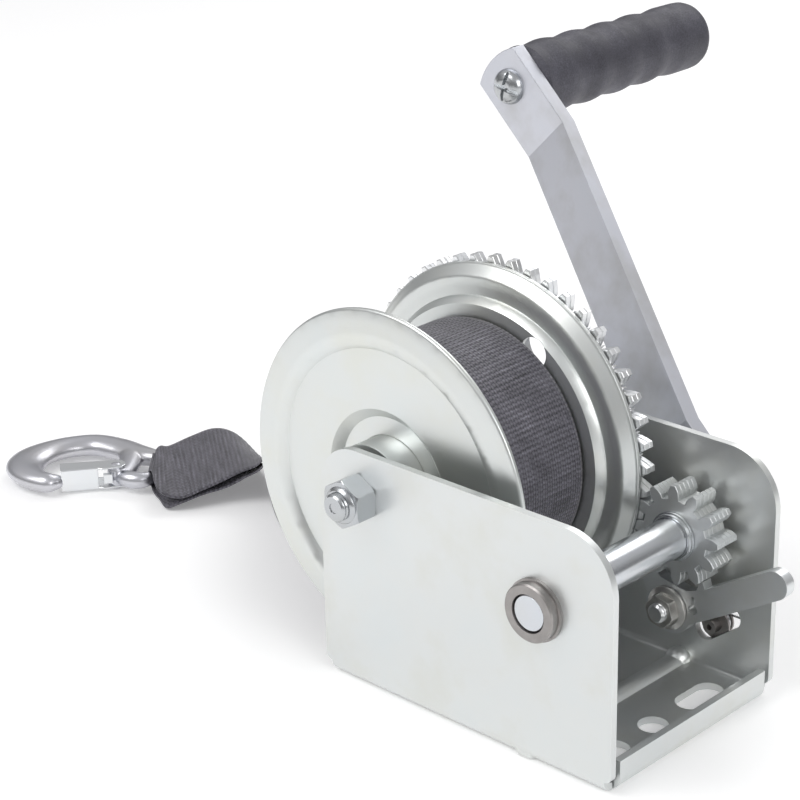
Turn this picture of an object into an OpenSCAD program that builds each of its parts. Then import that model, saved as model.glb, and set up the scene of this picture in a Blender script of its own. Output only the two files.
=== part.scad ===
// Hand-cranked strap winch for a boat trailer.
// Origin: underside of the base, middle of its footprint. +X points to the lip end of the base,
// +Y from the near side plate to the crank side, +Z up. All lengths in millimetres.

/* [Frame] */
// Length of the base along X
base_l = 144; // [120:1:170]
// Width over the two side plates
frame_w = 100; // [90:1:120]
// Height of the side plates
plate_h = 100; // [85:1:115]
// Sheet thickness of the frame
sheet_t = 3; // [2:0.5:4]
// Height of the folded lip
lip_h = 12.5; // [8:0.5:20]
// Half width of the folded lip
lip_half_w = 44.5; // [40:0.5:45]
// Inside radius of the sheet bends
bend_r = 2; // [1:0.5:4]
// Corner radius of the plates at the strap end
corner_strap_r = 19; // [5:1:25]
// Corner radius of the plates at the lip end
corner_lip_r = 22; // [5:1:25]
// Radius of the pressed rib across the base
rib_r = 5.5; // [3:0.5:8]
// Position of the rib along X
rib_x = 30.5; // [10:0.5:45]

/* [Mounting] */
// Half width of the mounting slots and radius of the round hole
slot_r = 6; // [4:0.25:8]
// End-to-end length of the mounting slots
slot_l = 23.4; // [14:0.2:30]
// Distance between the two slots of a row
slot_pitch = 58; // [50:1:64]
// Distance of the slot rows from the middle of the base
slot_row_x = 55; // [45:1:60]
// Middle of the slot pattern across the base
slot_mid_y = -3; // [-5:0.5:5]

/* [Drum] */
// Drum axis, distance from the middle of the base
drum_x = -51; // [-60:0.5:-40]
// Drum axis, height
drum_z = 81.5; // [75:0.5:90]
// Radius of the near flange
flange_r = 70.5; // [60:0.5:75]
// Radius of the flange step
step_r = 57; // [50:0.5:62]
// Radius of the rolled rim of the flange beside the gear
gear_rim_r = 72.2; // [70:0.1:72.8]
// Radius of the window in the gear behind the hole in the flange
gear_hole_r = 10; // [7:0.5:12]
// Radius of the recess around the hub
recess_r = 30.5; // [24:0.5:36]
// Radius of the hub tube
hub_r = 19; // [16:0.5:24]
// Radius of the wound strap
pack_r = 53; // [30:0.5:55]
// Width of the strap
strap_w = 50; // [40:1:52]
// Near edge of the strap
strap_y = -29.3; // [-30:0.1:-25]
// Flange sheet thickness
flange_t = 2; // [1.5:0.5:3]

/* [Gears] */
// Gear module
gear_m = 3; // [2.5:0.1:3.5]
// Teeth on the drum gear
drum_teeth = 48; // [40:1:56]
// Teeth on the pinion
pinion_teeth = 12; // [10:1:16]
// Thickness of the drum gear
gear_t = 5.5; // [4:0.5:8]
// Near face of the drum gear
gear_y = 31; // [30:0.5:34]
// Near face of the pinion
pinion_y = 30.8; // [30:0.1:33]
// Thickness of one pinion lamination
lam_t = 2.45; // [2:0.05:3]
// Number of pinion laminations
lam_n = 5; // [4:1:6]
// Height of the pinion axis
pinion_z = 64; // [58:0.5:70]

/* [Crank] */
// Centre distance from pinion axis to grip axis
crank_l = 197.6; // [150:0.1:220]
// Direction of the crank above the +X axis, in degrees
crank_a = 135.2; // [0:0.1:359]
// Width of the crank bar
crank_w = 26; // [20:1:30]
// Thickness of the crank bar
crank_t = 6.9; // [4:0.1:8]
// Near face of the crank at its hub
crank_y = 58.6; // [55.4:0.1:60]
// Outward offset of the grip end
crank_off = 38.2; // [0:0.2:45]
// Radius of the grip
grip_r = 15.6; // [12:0.1:18]
// Length of the grip
grip_l = 117; // [100:1:130]

/* [Pawl] */
// Pawl pivot, distance from the middle of the base
pawl_x = 31; // [28:0.5:35]
// Pawl pivot, height
pawl_z = 29; // [25:0.5:32]
// Pawl thickness
pawl_t = 5; // [4:0.5:6]
// Near face of the pawl
pawl_y = 36.8; // [36:0.1:38]
// Direction of the pawl lever above +X, in degrees
lever_a = 31; // [10:1:45]

/* [Strap end] */
// Strap thickness
strap_t = 1.6; // [1.2:0.1:2]
// Hook position along X (beside the eye bar)
eye_x = -256; // [-270:1:-200]
// Hook position along Y
eye_y = 15; // [-20:1:40]
// Direction the hook points, degrees from the -X axis towards -Y
hook_a = 35.6; // [0:0.1:60]

/* [Output] */

/* [Hidden] */
$fn = 64;
half_w = frame_w / 2;
inner_y = half_w - sheet_t;
half_l = base_l / 2;
pitch_drum = gear_m * drum_teeth / 2;
pitch_pin = gear_m * pinion_teeth / 2;
axis_gap = pitch_drum + pitch_pin;
pinion_x = drum_x + sqrt(pow(axis_gap, 2) - pow(drum_z - pinion_z, 2));
line_a = atan2(pinion_z - drum_z, pinion_x - drum_x);
pinion_l = lam_t * lam_n;
shaft_r = 7.5;
fit = 0.05;
zinc = [0.80, 0.82, 0.81];
steel = [0.55, 0.50, 0.46];
web = [0.25, 0.24, 0.27];
poly = [0.17, 0.17, 0.18];

// ---- helpers -------------------------------------------------------------------------------

// solid of revolution about a line parallel to Y, profile given as [radius, y]
module turned(x, z, profile, fn = 64)
    translate([x, 0, z]) rotate([-90, 0, 0]) mirror([0, 1, 0])
        rotate_extrude($fn = fn) polygon(profile);

// cylinder along +Y from y0 to y1
module rod(x, z, r, y0, y1, fn = 64)
    translate([x, y0, z]) rotate([-90, 0, 0]) cylinder(r = r, h = y1 - y0, $fn = fn);

// tube along +Y
module pipe(x, z, r, bore, y0, y1)
    difference() {
        rod(x, z, r, y0, y1);
        rod(x, z, bore, y0 - 1, y1 + 1);
    }

// hexagonal prism along +Y, flats af apart
module hex(x, z, af, y0, y1, turn = 0)
    translate([x, y0, z]) rotate([-90, turn, 0]) cylinder(r = af / sqrt(3), h = y1 - y0, $fn = 6);

// hexagon with its corners turned down to a chamfer at both ends
module hex_nut(x, z, af, bore, y0, y1, turn = 0)
    difference() {
        intersection() {
            hex(x, z, af, y0, y1, turn);
            turned(x, z, [[0, y0], [af * 0.52, y0], [af * 0.59, y0 + af * 0.05],
                [af * 0.59, y1 - af * 0.05], [af * 0.52, y1], [0, y1]]);
        }
        rod(x, z, bore, y0 - 1, y1 + 1);
    }

// threaded length drawn as shallow rings
module thread(x, z, r, y0, y1, pitch)
    turned(x, z, concat([[0, y0], [r - 0.9, y0]],
        [for (i = [0 : floor((y1 - y0 - 1.2) / pitch) - 1]) each [
            [r, y0 + 0.9 + i * pitch], [r, y0 + 0.9 + (i + 0.35) * pitch],
            [r - 0.45, y0 + 0.9 + (i + 0.7) * pitch]]],
        [[r, y1 - 0.3], [r, y1], [0, y1]]));

// slot along Y, centred
module slot_2d(r, l)
    union() {
        square([2 * r, l - 2 * r], center = true);
        for (s = [-1, 1]) translate([0, s * (l / 2 - r)]) circle(r = r);
    }

// ---- gear teeth ----------------------------------------------------------------------------

function involute(base, t) = let (d = t * 180 / PI)
    [base * (cos(d) + t * sin(d)), base * (sin(d) - t * cos(d))];
function turn_pt(p, a) = [p[0] * cos(a) - p[1] * sin(a), p[0] * sin(a) + p[1] * cos(a)];
function reach(base, r) = sqrt(pow(max(r, base) / base, 2) - 1);
function flank(n, m, pa, add, play) = let (
        rp = m * n / 2, rb = rp * cos(pa), rt = rp + add * m,
        tp = reach(rb, rp),
        mid = 90 / n - play / rp * 90 / PI + tp * 180 / PI - atan(tp),
        steps = 4)
    [for (i = [0 : steps]) turn_pt(involute(rb, reach(rb, rb + (rt - rb) * i / steps)), -mid)];
function flip(p) = [p[0], -p[1]];
function backwards(v) = [for (i = [len(v) - 1 : -1 : 0]) v[i]];
function tooth(n, m, pa, add, ded, play) = let (
        f = flank(n, m, pa, add, play), rr = m * n / 2 - ded * m,
        a0 = atan2(f[0][1], f[0][0]))
    concat([rr * [cos(a0), sin(a0)]], f, backwards([for (p = f) flip(p)]),
        [rr * [cos(a0), -sin(a0)]]);
module gear_2d(n, m, phase, add = 0.8, ded = 1.02)
    polygon([for (k = [0 : n - 1]) each [for (p = tooth(n, m, 25, add, ded, 0.16))
        turn_pt(p, phase + 360 * k / n)]]);

// ---- frame ---------------------------------------------------------------------------------

module plate_2d()
    difference() {
        union() {
            translate([-half_l, 8]) square([base_l, plate_h - corner_lip_r - 8]);
            translate([-half_l + 3, bend_r + sheet_t]) square([base_l - 6, 10]);
            translate([-half_l + corner_strap_r, 40])
                square([base_l - corner_strap_r - corner_lip_r, plate_h - 40]);
            translate([-half_l + corner_strap_r, plate_h - corner_strap_r])
                circle(r = corner_strap_r);
            translate([half_l - corner_lip_r, plate_h - corner_lip_r]) circle(r = corner_lip_r);
            for (s = [-1, 1]) translate([s * (half_l - 3), 8]) circle(r = 3);
        }
        translate([-half_l - 1, -1]) square([base_l + 2, bend_r + sheet_t + 1]);
    }

module plate(y0, holes)
    difference() {
        translate([0, y0 + sheet_t, 0]) rotate([90, 0, 0]) linear_extrude(sheet_t) plate_2d();
        for (h = holes) rod(h[0], h[1], h[2], y0 - 1, y0 + sheet_t + 1);
    }

module bend_strip(side)
    intersection() {
        translate([-half_l + 3, side * (half_w - bend_r - sheet_t), bend_r + sheet_t])
            rotate([0, 90, 0]) difference() {
                cylinder(r = bend_r + sheet_t, h = base_l - 6);
                translate([0, 0, -1]) cylinder(r = bend_r, h = base_l);
            }
        translate([0, side * half_w, 0]) rotate([0, 0, side > 0 ? 180 : 0])
            translate([-half_l, 0, 0]) cube([base_l, bend_r + sheet_t, bend_r + sheet_t]);
    }

module base_sheet()
    difference() {
        union() {
            translate([-half_l + 3, -half_w + bend_r + sheet_t, 0])
                cube([base_l - 6, frame_w - 2 * (bend_r + sheet_t), sheet_t]);
            translate([half_l - 8, -lip_half_w, 0]) cube([3, 2 * lip_half_w, sheet_t]);
            intersection() {
                translate([rib_x, 0, 0]) rotate([90, 0, 0])
                    cylinder(r = rib_r, h = 2 * (inner_y + 0.5), center = true);
                translate([rib_x - 10, -half_w + 0.5, 0.5]) cube([20, frame_w - 1, 10]);
            }
            for (s = [-1, 1]) intersection() {
                translate([rib_x, s * (inner_y - 2), 2.2]) sphere(r = rib_r);
                translate([rib_x - 10, s > 0 ? 0 : -half_w + 0.5, 0.5])
                    cube([20, half_w - 0.5, 12]);
            }
        }
        translate([rib_x, 0, 0]) rotate([90, 0, 0])
            cylinder(r = rib_r - sheet_t, h = 2 * inner_y - 6, center = true);
        for (row = [-1, 1], s = [-1, 1])
            translate([row * slot_row_x, slot_mid_y + s * slot_pitch / 2, -1])
                linear_extrude(sheet_t + 2) slot_2d(slot_r, slot_l);
        translate([slot_row_x, slot_mid_y, -1]) cylinder(r = slot_r, h = sheet_t + 2);
        // corner reliefs beside the lip
        for (s = [-1, 1]) translate([half_l - 5, s > 0 ? lip_half_w : -half_w, -1])
            cube([6, half_w - lip_half_w, sheet_t + 2]);
    }

module lip()
    union() {
        intersection() {
            translate([half_l - bend_r - sheet_t, 0, bend_r + sheet_t]) rotate([90, 0, 0])
                difference() {
                    cylinder(r = bend_r + sheet_t, h = 2 * lip_half_w, center = true);
                    cylinder(r = bend_r, h = 2 * lip_half_w + 2, center = true);
                }
            translate([half_l - bend_r - sheet_t, -lip_half_w, 0])
                cube([bend_r + sheet_t, 2 * lip_half_w, bend_r + sheet_t]);
        }
        translate([half_l - sheet_t, -lip_half_w, bend_r + sheet_t])
            cube([sheet_t, 2 * lip_half_w, lip_h - bend_r - sheet_t]);
    }

// slanted window beside the pawl
window_x = 47.5;
window_z = 23.5;
window_a = 37;
module window()
    translate([window_x, inner_y - 1, window_z]) rotate([-90, 0, 0]) rotate([0, 0, 90 - window_a])
        linear_extrude(sheet_t + 2) slot_2d(4.7, 24);

module frame()
    color(zinc) union() {
        base_sheet();
        lip();
        plate(-half_w, [[drum_x, drum_z, 5.7], [pinion_x, pinion_z, 10]]);
        difference() {
            plate(inner_y, [[drum_x, drum_z, 5.7], [pinion_x, pinion_z, 10],
                [pawl_x, pawl_z, 4.1]]);
            window();
        }
        bend_strip(1);
        bend_strip(-1);
    }

// ---- drum axle -----------------------------------------------------------------------------

axle_r = 5.55;
module drum_axle_bolt()
    color(zinc) union() {
        rod(drum_x, drum_z, axle_r, -half_w - 8, half_w);
        difference() {
            thread(drum_x, drum_z, axle_r, -half_w - 14.2, -half_w - 7.9, 1.6);
            translate([drum_x, -half_w - 15.2, drum_z]) rotate([-90, 0, 0]) cylinder(r = 2, h = 1.4);
        }
        hex_nut(drum_x, drum_z, 17.5, 0, half_w, half_w + 7.2);
    }

module drum_axle_nut()
    color(zinc) difference() {
        union() {
            hex_nut(drum_x, drum_z, 17.5, 1, -half_w - 10, -half_w, 30);
            turned(drum_x, drum_z, [[0, -half_w - 11.4], [6.2, -half_w - 11.4],
                [7.2, -half_w - 10.6], [7.6, -half_w - 9.5], [0, -half_w - 9.5]]);
        }
        rod(drum_x, drum_z, axle_r, -half_w - 20, -half_w + 1);
    }

sleeve_r = 9;
module drum_sleeve()
    color(zinc) pipe(drum_x, drum_z, sleeve_r, axle_r + fit, -inner_y, inner_y);

// ---- drum ----------------------------------------------------------------------------------

near_face = -35;
far_face = strap_y + strap_w + 0.8;
web_hole_a = 60;
web_hole_r = 51;

// thin dished disc, profile points follow the outer face from the centre outwards
module near_flange()
    color(zinc) turned(drum_x, drum_z, [
        [hub_r, -31.8], [recess_r - 4, -31.8], [recess_r, near_face], [step_r - 2.5, near_face],
        [step_r + 0.5, near_face - 2.6], [flange_r - 1, near_face - 1.4],
        [flange_r, near_face - 0.6], [flange_r, near_face + 0.8], [flange_r - 0.8, near_face + 1],
        [step_r + 0.8, near_face - 0.4], [step_r - 2, near_face + flange_t],
        [recess_r + 0.3, near_face + flange_t], [recess_r - 4, -29.8], [hub_r, -29.8]], 128);

module gear_flange()
    color(zinc) difference() {
        turned(drum_x, drum_z, [
            [hub_r, far_face], [step_r, far_face], [step_r + 2, far_face + 2],
            [step_r + 2.6, 25.2], [66.6, 24.4], [68.2, 25.2], [71, 28.3], [gear_rim_r, 28.6],
            [gear_rim_r, 30.4], [70.8, 30.4], [69, 28.8], [66.8, 26.6], [step_r + 2, 27.4],
            [step_r + 0.4, 26.6], [step_r - 0.6, far_face + flange_t],
            [hub_r, far_face + flange_t]], 128);
        web_hole();
    }

module web_hole()
    rod(drum_x + web_hole_r * cos(web_hole_a), drum_z + web_hole_r * sin(web_hole_a), 6.2, 0, 60);

module drum_gear()
    color(zinc) difference() {
        translate([drum_x, gear_y + gear_t, drum_z]) rotate([90, 0, 0])
            linear_extrude(gear_t) gear_2d(drum_teeth, gear_m, line_a);
        rod(drum_x, drum_z, hub_r, 0, 60);
        rod(drum_x + 20.8, drum_z + 42.7, gear_hole_r, 0, 60);
    }

// hub tube with the slot the strap end passes through and a collar that spaces the gear
module drum_hub()
    color(zinc) difference() {
        union() {
            rod(drum_x, drum_z, hub_r, -44, 44);
            rod(drum_x, drum_z, hub_r + 4, far_face + flange_t, gear_y);
        }
        rod(drum_x, drum_z, hub_r - 3, -50, 50);
        translate([drum_x - 3, strap_y - 1, drum_z + 10]) cube([6, strap_w + 2, 12]);
    }

module hub_bushings()
    color(steel) for (s = [-1, 1])
        pipe(drum_x, drum_z, hub_r - 3, sleeve_r + fit, s > 0 ? 33 : -44, s > 0 ? 44 : -33);

pin_z = drum_z + 12.6;
module strap_pin()
    color(zinc) rod(drum_x, pin_z, 2, -31, 31);

module strap_pack()
    color(web) union() {
        pipe(drum_x, drum_z, pack_r, hub_r, strap_y, strap_y + strap_w);
        difference() {
            translate([drum_x - 1.6, strap_y, pin_z]) cube([3.2, strap_w, hub_r - 11]);
            rod(drum_x, pin_z, 2.6, -60, 60);
        }
        pipe(drum_x, pin_z, 3.2, 2, strap_y, strap_y + strap_w);
    }

// ---- pinion and crank ----------------------------------------------------------------------

module shaft_bushings()
    color(steel) for (s = [-1, 1]) mirror([0, s > 0 ? 0 : 1, 0])
        difference() {
            turned(pinion_x, pinion_z, [[0, inner_y], [10, inner_y], [10, half_w],
                [12.2, half_w], [12.2, half_w + 1.4], [11.4, half_w + 1.6], [11.4, half_w + 4.4],
                [10.8, half_w + 5], [0, half_w + 5]]);
            rod(pinion_x, pinion_z, shaft_r + fit, 0, 80);
        }

module pinion_gear()
    color(zinc) difference() {
        translate([pinion_x, pinion_y + pinion_l, pinion_z]) rotate([90, 0, 0])
            linear_extrude(pinion_l) gear_2d(pinion_teeth, gear_m,
                line_a + 180 + 180 / pinion_teeth);
        rod(pinion_x, pinion_z, 8, 0, 60);
    }

module pinion_shaft()
    color(zinc) turned(pinion_x, pinion_z, [
        [0, -half_w - 4.4], [shaft_r - 0.8, -half_w - 4.4], [shaft_r, -half_w - 3.6],
        [shaft_r, -inner_y + 0.4], [8, -inner_y + 0.8], [8, inner_y - 0.8],
        [shaft_r, inner_y - 0.4], [shaft_r, crank_y], [5.5, crank_y],
        [5.5, crank_y + crank_t + 12.4], [4.7, crank_y + crank_t + 13.2],
        [0, crank_y + crank_t + 13.2]]);

module thrust_ring()
    color(zinc) difference() {
        union() {
            rod(pinion_x, pinion_z, 9.9, pinion_y - 1.55, pinion_y - 0.15);
            rod(pinion_x, pinion_z, 9.2, pinion_y - 2.75, pinion_y - 1.55);
        }
        rod(pinion_x, pinion_z, 8, 0, 60);
    }

// side profile of the crank bar as [along the bar, Y]
bend_lo = 36;
bend_hi = 170;
end_arc_r = 27.7;
end_arc_at = 183.8;
seat_y = crank_y + crank_off;
function bar_half(y) = [[-20, y], [bend_lo, y], [bend_hi, y + crank_off],
    [crank_l + 20, y + crank_off]];
module crank_arm()
    color(zinc) translate([pinion_x, 0, pinion_z]) rotate([0, -crank_a, 0]) difference() {
        intersection() {
            translate([0, 0, -crank_w / 2]) linear_extrude(crank_w)
                polygon(concat(bar_half(crank_y), [for (k = [3 : -1 : 0])
                    bar_half(crank_y + crank_t)[k] - [k == 1 || k == 2 ? 1 : 0, 0]]));
            union() {
                translate([0, 40, -crank_w / 2]) cube([end_arc_at, 80, crank_w]);
                rod(0, 0, crank_w / 2, 40, 120);
                rod(end_arc_at, 0, end_arc_r, 40, 120, 128);
            }
        }
        rod(0, 0, 5.5, 40, 120);
        rod(crank_l, 0, 4, 40, 120);
    }

module crank_washer()
    color(zinc) pipe(pinion_x, pinion_z, 11, 5.5, crank_y + crank_t, crank_y + crank_t + 1.6);

module crank_nut()
    color(zinc) hex_nut(pinion_x, pinion_z, 17.5, 5.5, crank_y + crank_t + 1.6,
        crank_y + crank_t + 11);

grip_x = pinion_x + crank_l * cos(crank_a);
grip_z = pinion_z + crank_l * sin(crank_a);
grip_y = seat_y + crank_t + 0.4;
module grip_screw()
    color(zinc) difference() {
        turned(grip_x, grip_z, [[0, seat_y - 4.3], [3.6, seat_y - 4.1], [6.2, seat_y - 2.9],
            [7.3, seat_y - 1.4], [7.6, seat_y], [4, seat_y], [4, grip_y + grip_l - 7.5],
            [0, grip_y + grip_l - 7.5]]);
        for (slot = [[13, 1.9], [103, 1.6]]) translate([grip_x, seat_y - 3.6, grip_z])
            rotate([0, slot[0], 0]) cube([16, 3.2, slot[1]], center = true);
    }

module grip_nut()
    color(zinc) hex_nut(grip_x, grip_z, 12.7, 4, grip_y + grip_l - 13.6, grip_y + grip_l - 8);

wave_p = 20;
wave_h = 0.5;
wave_y = 6.9;
taper = 1;
function wave(y) = grip_r - taper * y / grip_l
    - wave_h * cos(360 * min(y - wave_y, 4.5 * wave_p) / wave_p);
module handle_grip()
    color(poly) difference() {
        turned(grip_x, grip_z, concat([[0, grip_y], [grip_r - 2.6, grip_y]],
            [for (y = [2 : 2 : grip_l - 9]) [wave(y), grip_y + y]],
            [for (a = [10 : 16 : 74]) let (r = wave(grip_l) - 6.4)
                [r + 6.4 * cos(a), grip_y + grip_l - 7.4 + 6.4 * sin(a)]],
            [[9.2, grip_y + grip_l - 0.4], [8.6, grip_y + grip_l], [0, grip_y + grip_l]]));
        rod(grip_x, grip_z, 4.1, 0, 260);
        rod(grip_x, grip_z, 8.2, grip_y + grip_l - 14, 260);
    }

// ---- pawl ----------------------------------------------------------------------------------

to_pinion = atan2(pinion_z - pawl_z, pinion_x - pawl_x);
nose_a = 36;
lever_w = 11.6;
lever_l = 46;
module nose_2d()
    rotate(-nose_a) polygon([[0, -8], [15, -8], [20, -5.4], [22.6, 0.6], [21, 0.9], [17.4, -0.8],
        [12.5, 1.4], [7, 8], [0, 8]]);

module pawl()
    color(zinc) translate([pawl_x, pawl_y + pawl_t, pawl_z]) rotate([90, 0, 0])
        linear_extrude(pawl_t) difference() {
            union() {
                circle(r = 11);
                rotate(to_pinion) {
                    nose_2d();
                    mirror([0, 1]) nose_2d();
                }
                translate([9, 1.6]) rotate(lever_a) {
                    translate([-4, -lever_w / 2]) square([lever_l + 4, lever_w]);
                    translate([lever_l, 0]) circle(r = lever_w / 2);
                }
            }
            circle(r = 6 + fit);
            translate([11.6, 2.6]) circle(r = 2.1);
            translate([10.9, 2.6]) square([1.4, 5.4]);
        }

module pawl_bolt()
    color(zinc) union() {
        rod(pawl_x, pawl_z, 4, pawl_y - 0.3, half_w + 0.1);
        thread(pawl_x, pawl_z, 4, pawl_y - 8.6, pawl_y - 0.2, 1.25);
        hex_nut(pawl_x, pawl_z, 12.7, 0, half_w, half_w + 4.6);
    }

module pawl_bushing()
    color(steel) difference() {
        union() {
            rod(pawl_x, pawl_z, 6, pawl_y - 0.3, inner_y);
            rod(pawl_x, pawl_z, 9, pawl_y + pawl_t + 0.3, inner_y);
        }
        rod(pawl_x, pawl_z, 4, 0, 60);
    }

module pawl_nut()
    color(steel) difference() {
        union() {
            turned(pawl_x, pawl_z, [[0, pawl_y - 2.4], [7, pawl_y - 2.4], [9, pawl_y - 1.4],
                [9, pawl_y - 0.3], [0, pawl_y - 0.3]]);
            hex_nut(pawl_x, pawl_z, 12, 1, pawl_y - 6.4, pawl_y - 0.5, 12);
        }
        rod(pawl_x, pawl_z, 4, 0, 60);
    }

post_x = window_x - 3.4;
post_z = window_z - 2.6;
module spring_post()
    color(steel) difference() {
        union() {
            rod(post_x, post_z, 3, inner_y - 1, half_w + 5.2);
            rod(post_x, post_z, 6.6, half_w, half_w + 1);
            rod(post_x, post_z, 5.4, half_w + 4.3, half_w + 5.2);
        }
        translate([post_x, inner_y - 2, post_z]) rotate([-90, 0, 0]) cylinder(r = 1.2, h = 4);
    }

coil_y = half_w + 1.2;
module pawl_spring()
    color(zinc) union() {
        for (i = [0 : 2]) pipe(post_x, post_z, 4.9, 3.3, coil_y + i, coil_y + i + 0.9);
        pipe(post_x, post_z, 4.5, 3.7, coil_y, coil_y + 2.9);
        translate([post_x, coil_y + 2, post_z + 4]) cube([13, 0.9, 0.9]);
    }

// ---- strap end and hook --------------------------------------------------------------------

// Stations along the strap from the drum to the hook: middle of the strap, vector from its far
// edge to its near edge, gap between its two layers, half widths towards the near and far edge.
STRAP = [
    [[drum_x, -4.3, 26.9], [0, -50, 0], 0, 25, 25],
    [[-76, -4.3, 26.8], [0, -50, 0], 0, 25, 25],
    [[-98, -4.3, 26.8], [0, -50, 0], 0, 25, 25],
    [[-116, -2, 27], [-3, -48, 12], 0, 25, 25],
    [[-137, 6, 27.5], [-8, -40, 28], 0, 25, 25],
    [[-160, 20, 27], [-6, -27, 42], 0.2, 25, 25],
    [[-183, 36, 25], [9, -22, 44], 0.3, 25, 25],
    [[-203, 47.5, 19.5], [27, -27, 32], 0.8, 25, 25],
    [[-222.7, 54, 12], [36.5, -30, 15], 1.6, 25, 25],
    [[-232, 49.5, 11.7], [39.8, -30, 2.4], 3, 25, 25],
    [[-238, 43, 11.4], [40, -29.7, -4.5], 4.2, 25, 25],
    [[-243, 34, 10.2], [40, -29.7, -5], 5.4, 25, 25],
    [[-248, 25.5, 8.6], [41, -29, -3], 6.6, 25, 24],
    [[-255, 20, 7.4], [39, -31, -1], 8, 24, 21],
    [[-262, 19.5, 6.4], [36, -34, 0], 8.4, 14, 13],
    [[-267.5, 20.5, 5.6], [34, -36, 0], 7, 9, 9]];
last = len(STRAP) - 1;
sew_end = 5;
fold_steps = 6;
ring_steps = 3;

function unit(v) = v / norm(v);
function spline(a, b, c, d, t) = 0.5 * (2 * b + (c - a) * t + (2 * a - 5 * b + 4 * c - d) * t * t
    + (3 * b - a - 3 * c + d) * t * t * t);
function pick(i, k) = STRAP[max(0, min(last, i))][k];
function at(s, k) = let (i = min(last - 1, floor(s)))
    spline(pick(i - 1, k), pick(i, k), pick(i + 1, k), pick(i + 2, k), s - i);
function along(s) = unit(at(min(last, s + 0.1), 0) - at(max(0, s - 0.1), 0));
function up_dir(s) = unit(cross(along(s), at(s, 1)));
// four corners of the strap section: middle line point, outward direction, width frame at s
function section(s, middle, out) = let (w = unit(at(s, 1)), n = w * at(s, 3), f = w * at(s, 4),
        h = out * strap_t / 2)
    [middle + n - h, middle + n + h, middle - f + h, middle - f - h];
function layer(s, side) = let (out = side * up_dir(s))
    section(s, at(s, 0) + out * (at(s, 2) + strap_t) / 2, out);
function fold(turn) = let (out = up_dir(last) * cos(turn) + along(last) * sin(turn))
    section(last, at(last, 0) + out * (at(last, 2) + strap_t) / 2, out);
strap_rings = concat(
    [for (i = [0 : last * ring_steps]) layer(i / ring_steps, 1)],
    [for (i = [1 : fold_steps - 1]) fold(180 * i / fold_steps)],
    [for (i = [last * ring_steps : -1 : sew_end * ring_steps]) layer(i / ring_steps, -1)]);

// closed skin over a chain of rings with the same number of points
function middle(v, i = 0) = i == len(v) ? [0, 0, 0] : v[i] / len(v) + middle(v, i + 1);
module skin(rings) {
    n = len(rings[0]);
    m = len(rings);
    polyhedron(points = concat([for (r = rings) each r], [middle(rings[0]), middle(rings[m - 1])]),
        faces = concat(
            [for (k = [0 : n - 1]) [m * n, k, (k + 1) % n]],
            [for (i = [0 : m - 2], k = [0 : n - 1]) let (a = i * n + k, b = i * n + (k + 1) % n)
                each [[a, a + n, b], [b, a + n, b + n]]],
            [for (k = [0 : n - 1]) let (a = (m - 1) * n) [m * n + 1, a + (k + 1) % n, a + k]]));
}

module strap_tail()
    color(web) skin(strap_rings);

// hook outline in its own frame: [along, across, height of the middle, half width, half height]
HOOK = [
    [43, 7, 5, 4, 3.6], [46, 8.2, 5, 5.4, 4.6], [50, 7.6, 5, 4.6, 4.4], [56, 4.4, 5, 4.8, 4.6],
    [62.5, -2, 5, 5.6, 4.6], [66.5, -10, 5, 6, 4.6], [65, -19.5, 5, 6, 4.6],
    [58, -29, 5, 5.6, 4.6], [48, -36, 5, 5.2, 4.7], [35, -39.4, 5, 5, 4.8],
    [22, -36, 5, 4.8, 4.7], [12, -30.4, 5, 4.4, 4.4], [3.6, -26.4, 5, 3.8, 3.8],
    [-1.6, -21.6, 5.6, 3, 3], [-2.6, -16, 5.8, 2.6, 2.6], [-2.6, -8, 5.8, 2.6, 2.6],
    [-1.4, -2.2, 5.6, 3, 3], [3.6, 1.4, 5, 3.6, 3.6], [9.6, 0.6, 5, 3.6, 3.4],
    [15.5, -2.8, 5, 3, 2.6]];
hook_sides = 12;
hook_last = len(HOOK) - 1;
function hook_row(i) = HOOK[max(0, min(hook_last, i))];
function hook_at(s) = let (i = min(hook_last - 1, floor(s)))
    spline(hook_row(i - 1), hook_row(i), hook_row(i + 1), hook_row(i + 2), s - i);
function hook_dir(s) = let (d = hook_at(min(hook_last, s + 0.1)) - hook_at(max(0, s - 0.1)))
    unit([d[0], d[1], d[2]]);
function hook_ring(s) = let (c = hook_at(s), side = unit(cross(hook_dir(s), [0, 0, 1])),
        top = cross(side, hook_dir(s)))
    [for (k = [0 : hook_sides - 1]) let (a = -360 * k / hook_sides)
        [c[0], c[1], c[2]] + side * c[3] * cos(a) + top * c[4] * sin(a)];

module place_hook()
    translate([eye_x, eye_y, 0]) rotate([0, 0, 180 + hook_a]) children();

module snap_hook()
    color(zinc) place_hook() difference() {
        union() {
            skin([for (i = [0 : 2 * hook_last]) hook_ring(i / 2)]);
            translate([16.5, -3.4, 1.5]) cylinder(r = 4.3, h = 7, $fn = 32);
            translate([12.6, -32, 3.1]) cube([4.2, 28, 3.9]);
        }
        translate([16.5, -3.4, -1]) cylinder(r = 1.6, h = 12, $fn = 24);
    }

latch_l = 26;
latch_a = 18;
module hook_latch()
    color(zinc) place_hook() translate([16.5, -3.4, 0]) rotate([0, 0, latch_a]) difference() {
        union() {
            translate([0, -4.6, 0.3]) cube([latch_l, 9.6, 9.4]);
            translate([0, 0, 0.3]) cylinder(r = 4.6, h = 9.4, $fn = 32);
        }
        translate([-6, -6, 1.3]) cube([latch_l + 4.8, 9.7, 7.4]);
        translate([-6, -6, 1.3]) cube([10.6, 12, 7.4]);
        translate([0, 0, -1]) cylinder(r = 1.6, h = 12, $fn = 24);
    }

module latch_rivet()
    color(steel) place_hook() union() {
        translate([16.5, -3.4, 0.3]) cylinder(r = 1.6, h = 9.7, $fn = 24);
        translate([16.5, -3.4, 9.7]) cylinder(r = 2.4, h = 0.8, $fn = 24);
    }

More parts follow.
